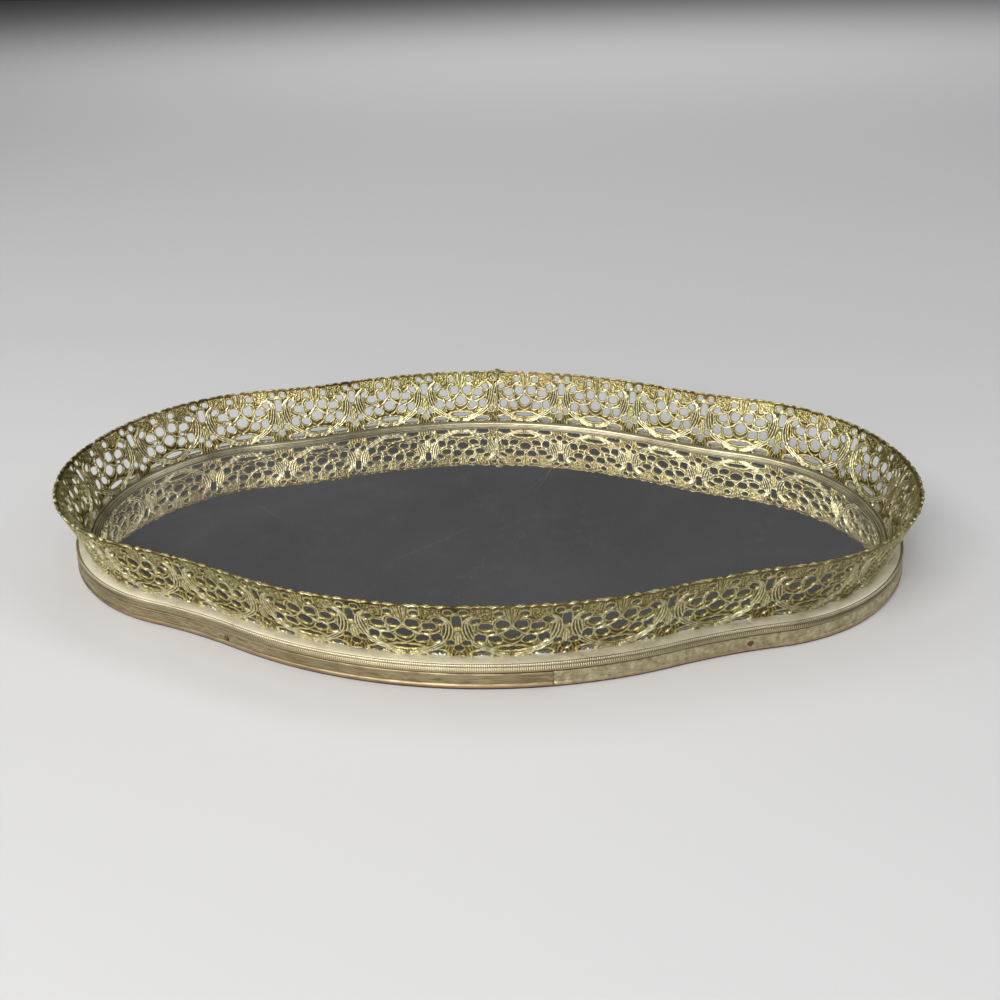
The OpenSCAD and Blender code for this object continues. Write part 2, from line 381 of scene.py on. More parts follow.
def relief(x, y, s):
    """The motif's height above its plain sheet and the opening field, both in millimetres."""
    field = opening_field(x, y)
    height = 0.13 + 0.45 * ridge(field - 0.45, 0.52)
    for reed in SCROLL_REEDS:
        height = np.maximum(height, 0.85 * ridge(distance_to_line(x, y, reed), 0.55))
    for width, tall, line in WIRE_LINES:
        height = np.maximum(height, tall * 1.35 * ridge(distance_to_line(x, y, line), width * 1.4))
    for bx, by, radius, tall in BEADS:
        height = np.maximum(height, tall * 1.3 * ridge(np.hypot(x - bx, y - by), radius))

    left, right, low, high = PANEL
    panel = window(x, left, right, 0.5) * window(y, low, high, 0.4) * rise(field, 0.2, 0.8)
    height = np.maximum(height, panel * (0.22 + 0.5 * pebbles(s, y)))

    flame_angle = np.arctan2(x, y - 16.5)
    flames = ridge((np.mod(flame_angle / 0.085 + 0.5, 1) - 0.5), 0.42)
    flames = flames * window(y, 22.2, 31.2, 0.6) * (1 - rise(x, 3.4, 4.2))
    height = np.maximum(height, 0.6 * flames)

    comb_x = x / (1 + y / 14)
    comb = ridge((np.mod(comb_x / 1.02 + 0.5, 1) - 0.5), 0.40)
    comb = comb * window(y, -1, 3.1 - 0.03 * x**2, 0.3) * (1 - rise(x, 5.6, 6.4))
    height = np.maximum(height, 0.55 * comb)

    stem = 0.42 * ridge(x - EDGE, 2.6) * window(y, 7.6, 19.0, 1.0) * rise(field, 0.1, 0.7)
    height = np.maximum(height, stem)
    from_top = top_edge(x) - y
    uneven = 0.45 + 0.2 * np.sin(s * 0.83 + 1.7 * np.sin(s * 0.29))
    height = np.maximum(height, uneven * ridge(from_top - 0.22, 0.6))
    swell = np.sin(s * 1.31 + 2.1 * np.sin(y * 0.53)) * np.sin(y * 1.17 + s * 0.4)
    height = height * (1 + 0.22 * swell)
    grain = 0.02 * np.sin(s * 7.3 + 3 * np.sin(y * 2.9)) * np.sin(y * 8.1 + 2 * np.sin(s * 3.7))
    return height + grain, field


# ---------------------------------------------------------------- the gallery's mesh

CELL = 0.31  # millimetres
COLUMNS = round(MOTIF / CELL)
ROWS = round(SLANT / CELL)
MOTIFS_PER_PIECE = 2
SHEET_HALF = 0.26
OUTSIDE_RELIEF = 1.15  # the inside's relief is 1
HOLLOW = 0.55  # how far the wall bows in at half its height

# Two stretches where the strip leans out further: how far at its top, from where, to where
BENDS = [(2.2, 190, 330), (1.9, LENGTH - 330, LENGTH - 230)]


def across_motif(x):
    """Distance from the motif's middle at a distance x along the strip, a little uneven."""
    sway = 0.12 * np.sin(x * 0.21) + 0.1 * np.sin(x * 0.083 + 1.3)
    inner = np.mod(x, MOTIF) - EDGE
    return np.abs(inner + sway * (1 - (inner / EDGE) ** 2))


def field_at(x, y):
    """The opening field at a distance x along the strip."""
    return opening_field(across_motif(x), y)


def snapped(x, y):
    """Moves the grid's points that are near an opening's edge onto the edge."""
    step = 0.02
    for _ in range(2):
        f = field_at(x, y)
        gx = (field_at(x + step, y) - field_at(x - step, y)) / (2 * step)
        gy = (field_at(x, y + step) - field_at(x, y - step)) / (2 * step)
        size = np.maximum(gx**2 + gy**2, 0.05)
        near = np.abs(f) / np.sqrt(size) < 0.56 * CELL
        x = np.where(near, x - f * gx / size, x)
        y = np.where(near & (y > 0.05), y - f * gy / size, y)
    return x, y, near


def wall_middle(x, s, v):
    """The wall's distance outside the rim's edge, with its bends and its lapped end."""
    bend = wave(s, [(3, 0.25), (7, 0.2), (17, 0.12)], 3)
    for lean, start, stop in BENDS:
        bend = bend + lean * window(s, start, stop, 90)
    over_lap = rise(x, LENGTH - 8, LENGTH - 1) * 1.15
    curl = HOLLOW * (4 * v * (v - 1))
    return v * GALLERY_FLARE - GALLERY_FOOT_IN + (bend + over_lap) * v + over_lap * 0.4 + curl


def sheet_faces(field, near):
    """Faces of both skins, open where the openings are, and of the walls between the skins."""
    count = field.size
    index = np.arange(count).reshape(field.shape)
    corners = np.stack([index[:-1, :-1], index[1:, :-1], index[1:, 1:], index[:-1, 1:]], -1)
    corners = corners.reshape(-1, 4)
    solid = (field.ravel() > -0.02) | near.ravel()
    here = solid[corners]
    quads = corners[here.all(1)]
    three = here.sum(1) == 3
    triangles = corners[three][here[three]].reshape(-1, 3)

    pairs = [(quads, (0, 1)), (quads, (1, 2)), (quads, (2, 3)), (quads, (3, 0)),
             (triangles, (0, 1)), (triangles, (1, 2)), (triangles, (2, 0))]
    edges = np.vstack([f[:, list(p)] for f, p in pairs])
    keys = np.sort(edges, 1)
    keys = keys[:, 0].astype(np.int64) * count + keys[:, 1]
    _, where, uses = np.unique(keys, return_index=True, return_counts=True)
    rim = edges[where[uses == 1]]
    walls = np.stack([rim[:, 1], rim[:, 0], rim[:, 0] + count, rim[:, 1] + count], -1)
    return [quads, triangles, quads[:, ::-1] + count, triangles[:, ::-1] + count, walls]


def gallery_piece(first, last):
    """The gallery from motif first up to motif last, as one closed mesh."""
    columns = np.arange((last - first) * COLUMNS + 1) * (MOTIF / COLUMNS) + first * MOTIF
    rows = np.linspace(0, 1, ROWS + 1)
    x, t = np.meshgrid(columns, rows, indexing="ij")
    y = t * top_edge(across_motif(x))
    ends = (x == columns[0]) | (x == columns[-1])
    sx, sy, near = snapped(x, y)
    sx = np.where(ends, x, sx)
    sy = np.where((t == 0) | (t == 1), y, sy)
    height, field = relief(across_motif(sx), sy, sx)

    # The edges of the openings and of the strip are rounded over.
    edge = rise(field, -0.05, 0.34)
    edge = np.minimum(edge, rise(top_edge(across_motif(sx)) - sy, -0.15, 0.3))
    outside = (SHEET_HALF + height * OUTSIDE_RELIEF) * (0.35 + 0.65 * edge)
    inside = (SHEET_HALF + height) * (0.35 + 0.65 * edge)

    s = SEAM_AT + sx
    v = sy / SLANT
    middle = wall_middle(sx, s, v)
    z = shelf_z + v * gallery_rise

    def skin(offset):
        return path(s, middle + offset * math.cos(LEAN), z - offset * math.sin(LEAN)).reshape(-1, 3)

    points = np.vstack([skin(outside), skin(-inside)])
    heights = np.tile(height.ravel(), 2)
    faces = sheet_faces(field, near)
    used = np.unique(np.concatenate([f.ravel() for f in faces]))
    renumber = np.full(len(points), -1)
    renumber[used] = np.arange(len(used))
    return make_mesh(
        f"gallery_{first // MOTIFS_PER_PIECE + 1:02d}", points[used],
        [renumber[f] for f in faces if len(f)], {"relief": heights[used]},
    )


def build_gallery():
    return [
        gallery_piece(first, first + MOTIFS_PER_PIECE)
        for first in range(0, MOTIFS, MOTIFS_PER_PIECE)
    ]


# ---------------------------------------------------------------- the rim


def reed_height(s):
    """0 in the grooves between the fine reeds, 1 on top of them."""
    return np.abs(np.sin(math.pi * s / LENGTH * round(LENGTH / REED_PITCH)))


def reeded(depth, falls):
    """Presses a row of fine reeds into a swept section, on the points that falls picks."""

    def shape(s, out, z):
        return out - depth * (1 - reed_height(s)) * falls(out), z

    return shape


def reed_mark(s, out, z):
    return reed_height(s) + 0 * out


def along_mark(s, out, z):
    """The distance along the rim, in metres."""
    return s * MM + 0 * out


def build_shelf():
    """The smooth shelf of the upper moulding, with a hollow step down to its bead."""
    top = shelf_z
    section = [
        (-LEG_IN, glass_low[2]), (-LEG_IN, top - 0.25), (-8.8, top), (-7.6, top + 0.02), (-6.6, top),
        (-5.6, top - 0.14), (-4.6, top - 0.42), (-3.7, top - 0.74), (-3.0, top - 1.0),
        (-2.6, top - 1.22), (-2.4, top - 1.5), (-2.3, top - 1.9), (-2.3, top - 2.6),
        (-2.5, glass_low[2]),
    ]

    def shape(s, out, z):
        dents = wave(s, [(9, 0.05), (23, 0.04), (61, 0.03)], 5)
        return out + dents, z + dents * 0.5

    # Marks the shelf inside the gallery's foot, where shade is painted into the colour.
    marks = {"painted_shade": lambda s, out, z: rise(-out, 7.7, 8.2)}
    return swept_ring("rim_shelf", section, 1200, shape, marks)


def build_reeded_bead():
    """The bright milled bead at the shelf's outer edge."""
    middle = (-1.7, shelf_z - 1.55)
    section = arc_points(middle, 0.82, 190, -170, 13)[:-1]
    shape = reeded(0.22, lambda out: out > middle[0] - 0.2)
    return swept_ring("rim_bead", section, REED_STATIONS, shape, {"reed": reed_mark})


def build_reeded_cove():
    """The milled cove below the bead."""
    high = shelf_z - 2.55
    section = [
        (-2.4, high), (-1.75, high), (-1.45, high - 0.35), (-1.1, high - 0.9), (-0.8, high - 1.5),
        (-0.7, high - 2.1), (-0.85, high - 2.5), (-1.4, high - 2.75), (-2.4, high - 2.8),
    ]
    shape = reeded(0.2, lambda out: out > -1.7)
    return swept_ring("rim_cove", section, REED_STATIONS, shape, {"reed": reed_mark})


def squiggles(s, out, z):
    """Small scrolls pressed along the skirt, half worn away, from 0 to 1."""
    turn = np.mod(s, 9.2) - 4.6
    line = 5.7 + 1.0 * np.sin(turn * 0.95)
    curl = ridge(z - line, 0.8) * window(turn, -3.2, 3.2, 0.6)
    dots = ridge(np.hypot(np.abs(turn) - 4.2, z - 5.7), 0.9)
    left_over = rise(wave(s, [(5, 0.5), (13, 0.4), (31, 0.4)], 8), -0.5, 0.5)
    return np.maximum(curl, dots) * left_over * (out > -0.8)


def skirt_seam_gap(s):
    """1 at the butt joint in the skirt, 0 away from it."""
    return np.exp(-(((s - SKIRT_SEAM) / 0.35) ** 2))


def build_skirt():
    """The lower band with worn pressed squiggles and a rolled lip."""
    low = skirt_low[2]
    lip = arc_points((-LIP_R, low + LIP_R), LIP_R, 70, -110, 9)
    lower = [(-0.62, low + 2.5), (-0.55, low + 2.9)]
    flat = [(-SKIRT_FACE_IN, z) for z in (4.4, 5.0, 5.6, 6.2, 6.8, 7.3)]
    upper = [(-0.55, 7.7), (-0.62, 8.1), (-0.85, SKIRT_TOP)]
    face = lower + flat + upper
    section = [(-1.6, SKIRT_TOP)] + face[::-1] + lip + [(-1.6, low + 0.6)]

    def shape(s, out, z):
        dents = wave(s, [(4, 0.1), (11, 0.06), (29, 0.05)], 9)
        pressed = 0.16 * squiggles(s, out, z)
        return out + pressed + dents - 0.5 * skirt_seam_gap(s) * (out > -1.5), z

    marks = {
        "side": lambda s, out, z: rise(s - SKIRT_SEAM, -0.2, 0.2) + 0 * out,
        "along": along_mark,
        "pressed": squiggles,
    }
    return swept_ring("skirt_band_sheet", section, 3400, shape, marks)


def build_bezel():
    """The inner bead moulding, with fine lines along it."""
    top = bezel_top
    base = glass_high[2] + 0.01
    # Distance out, height, and how much painted groove shade the point gets
    profile = [
        (-12.6, base, 1.0), (-12.62, base + 0.4, 0.3), (-12.4, base + 0.75, 0), (-12.1, base + 0.8, 0),
        (-11.9, base + 0.55, 1.0), (-11.75, base + 0.6, 1.0), (-11.6, base + 1.1, 0),
        (-11.3, base + 1.35, 0), (-11.0, base + 1.35, 0), (-10.8, base + 1.05, 1.0),
        (-10.65, base + 1.1, 1.0), (-10.5, base + 1.6, 0), (-10.2, base + 1.95, 0),
        (-9.9, top - 0.02, 0), (-9.6, top, 0), (-9.3, top - 0.12, 0.5), (-9.05, top - 0.45, 1.0),
        (-9.02, base, 1.0),
    ]
    section = [(out, z) for out, z, _ in profile]
    grooves = np.array([groove for _, _, groove in profile], float)

    def shape(s, out, z):
        dents = wave(s, [(6, 0.06), (19, 0.05), (47, 0.03)], 12)
        return out + dents * (out < -9.5), z

    marks = {"groove": lambda s, out, z: np.broadcast_to(grooves, out.shape), "along": along_mark}
    return swept_ring("bezel_bead", section, 1400, shape, marks)


# ---------------------------------------------------------------- solder and brads


def build_foot_solder():
    """The ragged solder where the gallery's foot meets the shelf, outside."""
    face = -GALLERY_FOOT_IN + 0.1
    section = [(0, 0), (0, 1), (0.25, 0.85), (0.5, 0.55), (0.8, 0.25), (1, 0)]

    def shape(s, out, z):
        ragged = 0.45 + wave(s, [(37, 0.15), (83, 0.2), (151, 0.16), (263, 0.2), (401, 0.16)], 15)
        tall = np.clip(ragged, 0.1, 1.1)
        wide = np.clip(0.7 + wave(s, [(29, 0.2), (71, 0.25), (199, 0.25)], 16), 0.25, 1.5)
        lumps = 1 + 0.25 * np.sin(s * 2.9 + 2 * np.sin(s * 0.61))
        return face + out * wide * 0.95, shelf_z - 0.02 + z * tall * lumps

    return swept_ring("foot_solder", section, 4200, shape)


def blob(name, centre, radii, seed, lumps):
    """A lumpy round blob of solder, from a fine ball."""
    bpy.ops.mesh.primitive_ico_sphere_add(subdivisions=5, radius=1)
    source = bpy.context.object
    points = np.array([v.co for v in source.data.vertices])
    faces = np.array([list(p.vertices) for p in source.data.polygons])
    bpy.data.objects.remove(source)
    draws = np.random.default_rng(seed)
    for _ in range(14):
        axis = draws.normal(size=3)
        axis /= np.linalg.norm(axis)
        bump = lumps * np.exp(-((points @ axis - 1) / 0.22) ** 2) * draws.uniform(-1, 1)
        points = points * (1 + bump)[:, None]
    return make_mesh(name, centre + points * radii, [faces])


def build_seam_lump():
    """The lump over the gallery's lapped ends."""
    top = path(np.array([SEAM_AT]), GALLERY_FLARE - GALLERY_FOOT_IN, shelf_z + gallery_rise - 0.1)[0]
    return blob("seam_lump", top, np.array([2.9, 1.5, 2.0]), 21, 0.22)


def build_seam_run():
    """The run of solder down the seam inside."""
    count, sides = 90, 10
    v = np.linspace(0.04, 0.97, count)[:, None]
    angle = np.linspace(0, 2 * math.pi, sides, endpoint=False)
    width = 0.55 + 0.25 * np.sin(v * 31) + 0.2 * np.sin(v * 13 + 1)
    s = SEAM_AT + width * np.cos(angle) + 0.3 * np.sin(v * 9)
    wall = v * GALLERY_FLARE - GALLERY_FOOT_IN - 0.55 + HOLLOW * 4 * v * (v - 1)
    out = wall + 0.45 * np.sin(angle)
    points = path(s, out, shelf_z + v * gallery_rise + 0 * angle).reshape(-1, 3)
    ends = [np.arange(sides)[None, ::-1], (np.arange(sides) + (count - 1) * sides)[None]]
    tube = ring_faces(count, sides)[: (count - 1) * sides]
    return make_mesh("seam_run", points, [tube] + ends)


def build_brads():
    """Four nails with domed heads, one at each waist."""
    # Radius and height of each ring of a head
    profile = [(0, 0.42), (0.5, 0.40), (0.95, 0.32), (1.35, 0.2), (1.65, 0.02), (1.72, -0.15),
               (1.9, -0.2), (2.2, -0.12), (2.45, -0.3), (2.45, -0.6), (0, -0.6)]
    sides = 40
    points, faces = [], []
    angle = np.linspace(0, 2 * math.pi, sides, endpoint=False)
    for i, turn in BRAD_TURNS.items():
        place = ARC_ENDS[i] - ARC_LENGTHS[i] / 2 + math.radians(turn) * (WAIST_R + GALLERY_MID_IN)
        centre = path(np.array([place]), -0.55, BRAD_Z)[0]
        ahead = path(np.array([place + 1]), -0.55, BRAD_Z)[0] - centre
        tangent = ahead / np.linalg.norm(ahead)
        outward = np.array([tangent[1], -tangent[0], 0])
        start = len(points) * sides
        for r, h in profile:
            wobble = 1 + 0.04 * np.sin(3 * angle + i)
            ring = centre + outward * h + np.outer(r * wobble * np.cos(angle), tangent)
            ring[:, 2] += r * wobble * np.sin(angle)
            points.append(ring)
        block = ring_faces(len(profile), sides)[: (len(profile) - 1) * sides] + start
        faces.append(block)
    return make_mesh("brad_heads", np.vstack(points), [np.vstack(faces)])


# ---------------------------------------------------------------- materials


class Nodes:
    """A short way to write a node material."""

    def __init__(self, name):
        self.material = bpy.data.materials.new(name)
        self.material.use_nodes = True
        self.tree = self.material.node_tree
        self.shader = self.tree.nodes["Principled BSDF"]

    def add(self, kind, inputs=None, **settings):
        node = self.tree.nodes.new(kind)
        for key, value in settings.items():
            setattr(node, key, value)
        for key, value in (inputs or {}).items():
            self.put(node.inputs[key], value)
        return node

    def put(self, socket, value):
        if isinstance(value, bpy.types.NodeSocket):
            self.tree.links.new(value, socket)
        else:
            socket.default_value = value

    def where(self):
        return self.add("ShaderNodeTexCoord").outputs["Object"]

    def height(self):
        return self.add("ShaderNodeSeparateXYZ", {"Vector": self.where()}).outputs["Z"]

    def noise(self, scale, detail=4.0, rough=0.55, at=None, distortion=0.0):
        node = self.add("ShaderNodeTexNoise", {
            "Scale": scale, "Detail": detail, "Roughness": rough, "Distortion": distortion,
            "Vector": at if at is not None else self.where(),
        })
        return node.outputs["Fac"]

    def mark(self, name):
        return self.add("ShaderNodeAttribute", attribute_name=name).outputs["Fac"]

    def ramp(self, value, stops):
        node = self.add("ShaderNodeValToRGB", {"Fac": value})
        elements = node.color_ramp.elements
        while len(elements) < len(stops):
            elements.new(0.5)
        for element, (at, colour) in zip(elements, stops):
            element.position = at
            element.color = (*colour, 1)
        return node.outputs["Color"]

    def span(self, value, low, high, to_low=0.0, to_high=1.0):
        node = self.add("ShaderNodeMapRange", {
            "Value": value, "From Min": low, "From Max": high, "To Min": to_low, "To Max": to_high,
        })
        return node.outputs["Result"]

    def mix(self, factor, a, b):
        node = self.add("ShaderNodeMix", data_type="RGBA")
        self.put(node.inputs[0], factor)
        self.put(node.inputs[6], a if isinstance(a, bpy.types.NodeSocket) else (*a, 1))
        self.put(node.inputs[7], b if isinstance(b, bpy.types.NodeSocket) else (*b, 1))
        return node.outputs[2]

    def calc(self, how, a, b):
        node = self.add("ShaderNodeMath", operation=how)
        self.put(node.inputs[0], a)
        self.put(node.inputs[1], b)
        return node.outputs[0]

    def bump(self, height, strength, distance):
        settings = {"Height": height, "Strength": strength, "Distance": distance}
        node = self.add("ShaderNodeBump", settings)
        self.put(self.shader.inputs["Normal"], node.outputs["Normal"])

    def set(self, **values):
        names = {"colour": "Base Color", "metal": "Metallic", "rough": "Roughness",
                 "sheen": "Sheen Weight"}
        for key, value in values.items():
            if key == "colour" and not isinstance(value, bpy.types.NodeSocket):
                value = (*value, 1)
            self.put(self.shader.inputs[names[key]], value)
        return self.material


def gilt_material():
    """Antiqued gilt brass: darker in the recesses, partly patina and partly painted shade, and pale on
    the ridges, partly wear and partly painted highlight.
    """
    n = Nodes("antique_gilt")
    height = n.mark("relief")
    cloud = n.noise(60, 6, 0.7)
    worn = n.calc("ADD", height, n.span(cloud, 0.3, 0.7, -0.12, 0.10))
    # The ramp over the relief height (worn) paints shade into the recesses and a highlight onto the
    # ridges, on top of real patina and wear.
    colour = n.ramp(n.span(worn, 0.04, 0.78), [
        (0.0, (0.045, 0.032, 0.012)), (0.20, (0.13, 0.10, 0.035)), (0.45, (0.34, 0.285, 0.105)),
        (0.72, (0.60, 0.55, 0.29)), (1.0, (0.86, 0.83, 0.60)),
    ])
    tarnish = n.span(n.noise(480, 3, 0.6), 0.5, 0.68)
    colour = n.mix(n.calc("MULTIPLY", tarnish, 0.4), colour, (0.15, 0.12, 0.05))
    green = n.span(n.noise(14, 3, 0.5), 0.45, 0.7)
    colour = n.mix(n.calc("MULTIPLY", green, 0.25), colour, (0.26, 0.28, 0.11))
    brown = n.span(n.noise(9, 3, 0.5, distortion=0.4), 0.5, 0.7)
    colour = n.mix(n.calc("MULTIPLY", brown, 0.4), colour, (0.20, 0.13, 0.07))
    n.bump(n.noise(900, 3, 0.6), 0.25, 0.00012)
    return n.set(colour=colour, metal=0.95, rough=n.span(n.noise(160, 4, 0.6), 0.3, 0.7, 0.30, 0.48))


def moulding_material(name, bright, mid, dark, low_rough, high_rough):
    """Worn brass sheet with fine brushing, stains and dull patches."""
    n = Nodes(name)
    stains = n.noise(26, 6, 0.65, distortion=0.3)
    colour = n.ramp(stains, [(0.22, dark), (0.42, mid), (0.66, bright)])
    specks = n.span(n.noise(420, 3, 0.5), 0.62, 0.72)
    colour = n.mix(n.calc("MULTIPLY", specks, 0.45), colour, dark)
    n.bump(n.noise(700, 4, 0.6), 0.18, 0.0001)
    return n, colour, n.span(n.noise(90, 5, 0.6), 0.3, 0.7, low_rough, high_rough)


def shelf_material():
    """Pale, rubbed brass, with painted shade on the shelf inside the gallery's foot."""
    n, colour, rough = moulding_material(
        "pale_worn_brass", (0.76, 0.71, 0.57), (0.66, 0.61, 0.47), (0.38, 0.34, 0.23), 0.46, 0.62)
    # Painted shade darkens the shelf inside the gallery's foot.
    colour = n.mix(n.calc("MULTIPLY", n.mark("painted_shade"), 0.85), colour, (0.09, 0.07, 0.045))
    return n.set(colour=colour, metal=0.85, rough=rough)


def reed_material():
    """The milled bead and cove: bright reeds, with dirt and painted shade in the grooves."""
    n, colour, rough = moulding_material(
        "milled_brass", (0.64, 0.59, 0.43), (0.52, 0.47, 0.32), (0.24, 0.20, 0.11), 0.26, 0.42)
    height = n.height()
    low = n.span(height, (shelf_z - 2.3) * MM, (shelf_z - 2.9) * MM, 0, 0.7)
    colour = n.mix(low, colour, (0.34, 0.27, 0.14))
    # Dark colour in the grooves between the reeds: partly dirt, partly painted shade.
    groove = n.span(n.mark("reed"), 0.7, 0.1)
    dirt_and_shade = n.span(n.noise(30, 4, 0.6), 0.35, 0.65, 0.25, 0.85)
    colour = n.mix(n.calc("MULTIPLY", groove, dirt_and_shade), colour, (0.14, 0.11, 0.06))
    return n.set(colour=colour, metal=0.9, rough=rough)


def lengthwise_noise(n, scale, stretch):
    """Noise drawn out along the rim: its pieces carry their distance along it as a mark."""
    height = n.height()
    at = n.add("ShaderNodeCombineXYZ", {
        "X": n.calc("MULTIPLY", n.mark("along"), stretch), "Y": height, "Z": 0.0})
    return n.noise(scale, 5, 0.65, at=at.outputs["Vector"])


def bezel_material():
    """Dull streaky brass, with painted shade in its grooves."""
    n, colour, rough = moulding_material(
        "dull_brass", (0.48, 0.45, 0.31), (0.36, 0.33, 0.21), (0.15, 0.13, 0.075), 0.30, 0.50)
    streaks = n.span(lengthwise_noise(n, 1500, 0.03), 0.5, 0.62)
    colour = n.mix(n.calc("MULTIPLY", streaks, 0.6), colour, (0.20, 0.16, 0.10))
    # Painted shade in the bezel's grooves.
    colour = n.mix(n.calc("MULTIPLY", n.mark("groove"), 0.85), colour, (0.07, 0.055, 0.03))
    return n.set(colour=colour, metal=0.85, rough=rough)


def skirt_material():
    """Browned brass on the left, greener and mottled on the right, with a coppery lip."""
    n, colour, rough = moulding_material(
        "browned_brass", (0.36, 0.30, 0.17), (0.27, 0.21, 0.11), (0.12, 0.085, 0.045), 0.34, 0.56)
    height = n.height()
    streaks = lengthwise_noise(n, 1100, 0.09)
    colour = n.mix(n.span(streaks, 0.52, 0.66), colour, (0.14, 0.10, 0.05))
    colour = n.mix(n.calc("MULTIPLY", n.span(streaks, 0.47, 0.36), 0.5), colour, (0.52, 0.44, 0.27))
    colour = n.mix(n.calc("MULTIPLY", n.mark("pressed"), 0.35), colour, (0.56, 0.50, 0.32))
    mottled = n.ramp(n.noise(330, 5, 0.7), [
        (0.34, (0.25, 0.21, 0.11)), (0.5, (0.46, 0.42, 0.25)), (0.66, (0.70, 0.64, 0.43))])
    greener = n.mix(0.75, colour, mottled)
    colour = n.mix(n.mark("side"), colour, greener)
    lip = n.span(height, 2.9 * MM, 2.5 * MM)
    coppery = n.span(n.noise(13, 3, 0.6), 0.4, 0.62, 0.25, 0.85)
    colour = n.mix(n.calc("MULTIPLY", lip, coppery), colour, (0.40, 0.27, 0.16))
    return n.set(colour=colour, metal=0.8, rough=rough)


# Scratches: the centre and radius of each arc, and its width
SCRATCHES = [
    (-60, 75, 96, 0.14), (150, -260, 300, 0.08), (-210, 150, 260, 0.08),
]


def scratches(n):
    """A few long arcs, each a thin ring seen only where a noise lets it through."""
    total = None
    for cx, cy, radius, width in SCRATCHES:
        offset = n.add("ShaderNodeVectorMath", operation="SUBTRACT")
        n.put(offset.inputs[0], n.where())
        n.put(offset.inputs[1], (cx * MM, cy * MM, glass_high[2] * MM))
        length = n.add("ShaderNodeVectorMath", {0: offset.outputs[0]}, operation="LENGTH")
        off = n.calc("ABSOLUTE", n.calc("SUBTRACT", length.outputs["Value"], radius * MM), 0)
        line = n.span(off, width * MM, 0)
        total = line if total is None else n.calc("MAXIMUM", total, line)
    broken = n.span(n.noise(11, 2, 0.5), 0.46, 0.58)
    return n.calc("MULTIPLY", total, broken)


def mirror_material():
    """Silvered glass with haze, dust, fine scuffs and a curved scratch."""
    n = Nodes("old_mirror")
    haze = n.span(n.noise(7, 5, 0.6, distortion=0.5), 0.35, 0.75)
    dust = n.span(n.noise(1300, 2, 0.5), 0.70, 0.74)
    patches = n.span(n.noise(55, 4, 0.65), 0.56, 0.72)
    rough = n.calc("ADD", n.span(haze, 0, 1, 0.015, 0.05), n.calc("MULTIPLY", patches, 0.03))
    film = n.calc("ADD", n.span(haze, 0, 1, 0.05, 0.08), n.calc("MULTIPLY", dust, 0.2))
    film = n.calc("ADD", film, n.calc("MULTIPLY", patches, 0.012))
    film = n.calc("ADD", film, n.calc("MULTIPLY", scratches(n), 0.3))
    metal = n.calc("SUBTRACT", 1.0, film)
    colour = n.mix(film, (0.81, 0.80, 0.80), (0.60, 0.57, 0.54))
    return n.set(colour=colour, metal=metal, rough=rough)


def solder_material():
    """Bright, lumpy tin solder."""
    n = Nodes("tin_solder")
    colour = n.ramp(n.noise(240, 4, 0.6), [
        (0.34, (0.20, 0.16, 0.09)), (0.52, (0.46, 0.42, 0.30)), (0.66, (0.82, 0.80, 0.74))])
    n.bump(n.noise(600, 3, 0.6), 0.4, 0.0002)
    return n.set(colour=colour, metal=0.85, rough=n.span(n.noise(150), 0.3, 0.7, 0.25, 0.5))


def dull_solder_material():
    """Solder that has tarnished to the gallery's tone."""
    n = Nodes("tarnished_solder")
    colour = n.ramp(n.noise(420, 4, 0.6), [
        (0.34, (0.13, 0.12, 0.05)), (0.52, (0.36, 0.35, 0.17)), (0.68, (0.60, 0.59, 0.36))])
    n.bump(n.noise(700, 3, 0.6), 0.4, 0.0002)
    return n.set(colour=colour, metal=0.85, rough=n.span(n.noise(150), 0.3, 0.7, 0.32, 0.55))


def rust_material():
    """Rusty steel for the brad heads."""
    n = Nodes("rusty_steel")
    colour = n.ramp(n.noise(900, 5, 0.65), [
        (0.3, (0.035, 0.02, 0.014)), (0.52, (0.12, 0.055, 0.03)), (0.75, (0.26, 0.16, 0.10))])
    n.bump(n.noise(1500, 4, 0.6), 0.5, 0.0002)
    return n.set(colour=colour, metal=0.4, rough=n.span(n.noise(500), 0.3, 0.7, 0.5, 0.8))


def felt_material():
    """Dark red-brown felt."""
    n = Nodes("dark_felt")
    fibres = n.noise(2600, 4, 0.7)
    colour = n.ramp(fibres, [
        (0.3, (0.030, 0.012, 0.010)), (0.55, (0.062, 0.026, 0.020)), (0.8, (0.11, 0.055, 0.042))])
    n.bump(fibres, 0.6, 0.0003)
    return n.set(colour=colour, rough=0.95, sheen=0.4)


def hardboard_material():
    """Brown hardboard."""
    n = Nodes("hardboard")
    fibres = n.noise(700, 6, 0.7, distortion=0.6)
    colour = n.ramp(fibres, [
        (0.3, (0.10, 0.05, 0.03)), (0.55, (0.19, 0.105, 0.06)), (0.8, (0.28, 0.17, 0.10))])
    n.bump(fibres, 0.4, 0.0003)
    return n.set(colour=colour, rough=0.8)


def card_material():
    """Grey-brown card."""
    n = Nodes("grey_card")
    fibres = n.noise(1200, 5, 0.7)
    colour = n.ramp(fibres, [(0.3, (0.20, 0.16, 0.10)), (0.6, (0.34, 0.28, 0.19))])
    n.bump(fibres, 0.3, 0.0002)
    return n.set(colour=colour, rough=0.9)


# ---------------------------------------------------------------- putting it together


def finish_piece(piece, material, node):
    """Gives a piece its material, hangs it on the root body and hides the CAD node it stands for."""
    piece.data.materials.clear()
    piece.data.materials.append(material)
    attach(piece, "root")
    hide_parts(node)


def dress_node(node, material):
    """Gives a CAD node that stays visible its material."""
    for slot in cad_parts[node].material_slots:
        slot.material = material


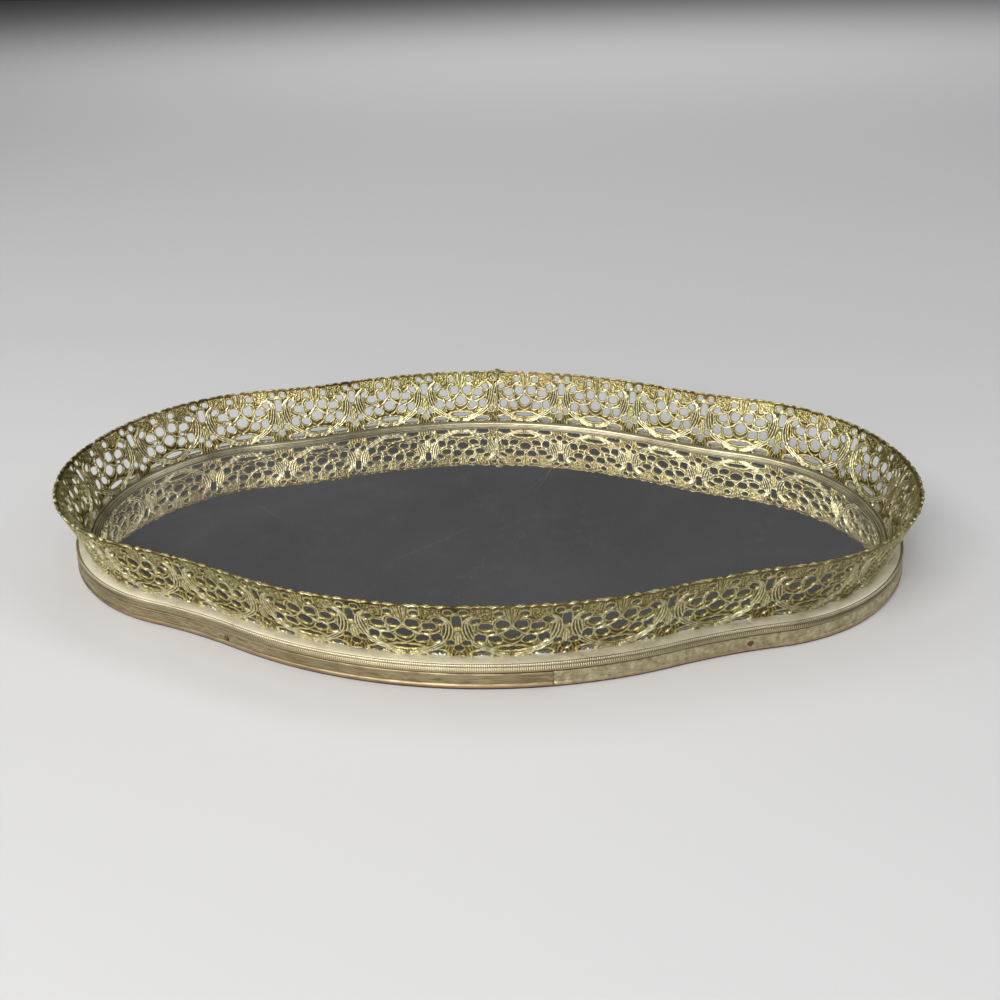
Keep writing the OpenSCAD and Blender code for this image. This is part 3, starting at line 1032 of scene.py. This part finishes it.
gilt = gilt_material()
pale = shelf_material()
solder = solder_material()
for piece in build_gallery():
    finish_piece(piece, gilt, "gallery_strip")
finish_piece(build_shelf(), pale, "top_moulding")
milled = reed_material()
for piece in (build_reeded_bead(), build_reeded_cove()):
    finish_piece(piece, milled, "top_moulding")
finish_piece(build_skirt(), skirt_material(), "skirt_band")
finish_piece(build_bezel(), bezel_material(), "inner_bezel")
finish_piece(build_foot_solder(), solder, "gallery_solder")
dull_solder = dull_solder_material()
for piece in (build_seam_lump(), build_seam_run()):
    finish_piece(piece, dull_solder, "seam_solder")
finish_piece(build_brads(), rust_material(), "brads")
dress_node("mirror_plate", mirror_material())
dress_node("base_felt", felt_material())
dress_node("base_board", hardboard_material())
dress_node("backing_card", card_material())

# ---------------------------------------------------------------- floor, lights and camera


def add_floor():
    bpy.ops.mesh.primitive_plane_add(size=20, location=(0, 0, 0))
    floor = bpy.context.object
    floor.name = "floor"
    n = Nodes("pale_floor")
    floor.data.materials.append(n.set(colour=(0.60, 0.60, 0.605), rough=0.5))


def add_light(name, place, target, size, watts, colour=(1, 1, 1)):
    """A soft rectangular light aimed at the target."""
    data = bpy.data.lights.new(name, "AREA")
    data.shape = "RECTANGLE"
    data.size, data.size_y = size
    data.energy = watts
    data.color = colour
    light = bpy.data.objects.new(name, data)
    bpy.context.scene.collection.objects.link(light)
    light.location = place
    aim = Vector(target) - Vector(place)
    light.rotation_euler = aim.to_track_quat("-Z", "Y").to_euler()


def add_world(*colour):
    world = bpy.data.worlds.new("studio")
    world.use_nodes = True
    background = world.node_tree.nodes["Background"]
    background.inputs["Color"].default_value = (*colour, 1)
    background.inputs["Strength"].default_value = 1.0
    bpy.context.scene.world = world


# The camera: its lens in millimetres, its angles in degrees and its places in metres. It
# looks down on the tray, turned a little round it and rolled a little.
CAMERA_LENS = 37.6
CAMERA_DISTANCE = 0.589
CAMERA_PITCH = 27.7
CAMERA_TURN = 6.8
CAMERA_ROLL = 1.8
CAMERA_ASIDE = 0.0114
CAMERA_UP = 0.0199


def add_camera():
    pitch, roll, turn = (math.radians(a) for a in (CAMERA_PITCH, CAMERA_ROLL, CAMERA_TURN))
    forward = Vector((0, math.cos(pitch), -math.sin(pitch)))
    right = Vector((1, 0, 0))
    up = right.cross(forward)
    place = Vector((CAMERA_ASIDE, 0, 0)) - forward * CAMERA_DISTANCE + up * CAMERA_UP
    rolled_right = right * math.cos(roll) - up * math.sin(roll)
    rolled_up = right * math.sin(roll) + up * math.cos(roll)
    basis = Matrix((rolled_right, rolled_up, -forward)).transposed().to_4x4()
    data = bpy.data.cameras.new("camera")
    data.lens = CAMERA_LENS
    data.sensor_width = 36
    camera = bpy.data.objects.new("camera", data)
    bpy.context.scene.collection.objects.link(camera)
    camera.matrix_world = Matrix.Rotation(turn, 4, "Z") @ Matrix.Translation(place) @ basis
    bpy.context.scene.camera = camera


add_camera()
add_floor()
# The far light lights the floor behind the tray and is turned away from the tray itself.
add_light("key", (-0.7, -1.2, 1.5), (0, 0, 0), (1.4, 0.8), 33, (1, 0.98, 0.95))
add_light("front", (-0.1, -1.7, 0.6), (0, 0, 0.03), (1.5, 0.8), 13)
add_light("left", (-1.5, 0.1, 1.3), (0, 0, 0), (1.2, 0.9), 9)
add_light("right", (1.5, 0.0, 1.3), (0, 0, 0), (1.2, 0.9), 10)
add_light("back", (0.3, 0.85, 1.7), (0, 0, 0), (2.4, 0.6), 9, (0.97, 0.98, 1))
add_light("far", (0, 2.2, 3.0), (0, 7.0, 0), (4.0, 1.5), 150)
add_world(0.032, 0.032, 0.034)
bpy.context.scene.view_settings.view_transform = "Standard"
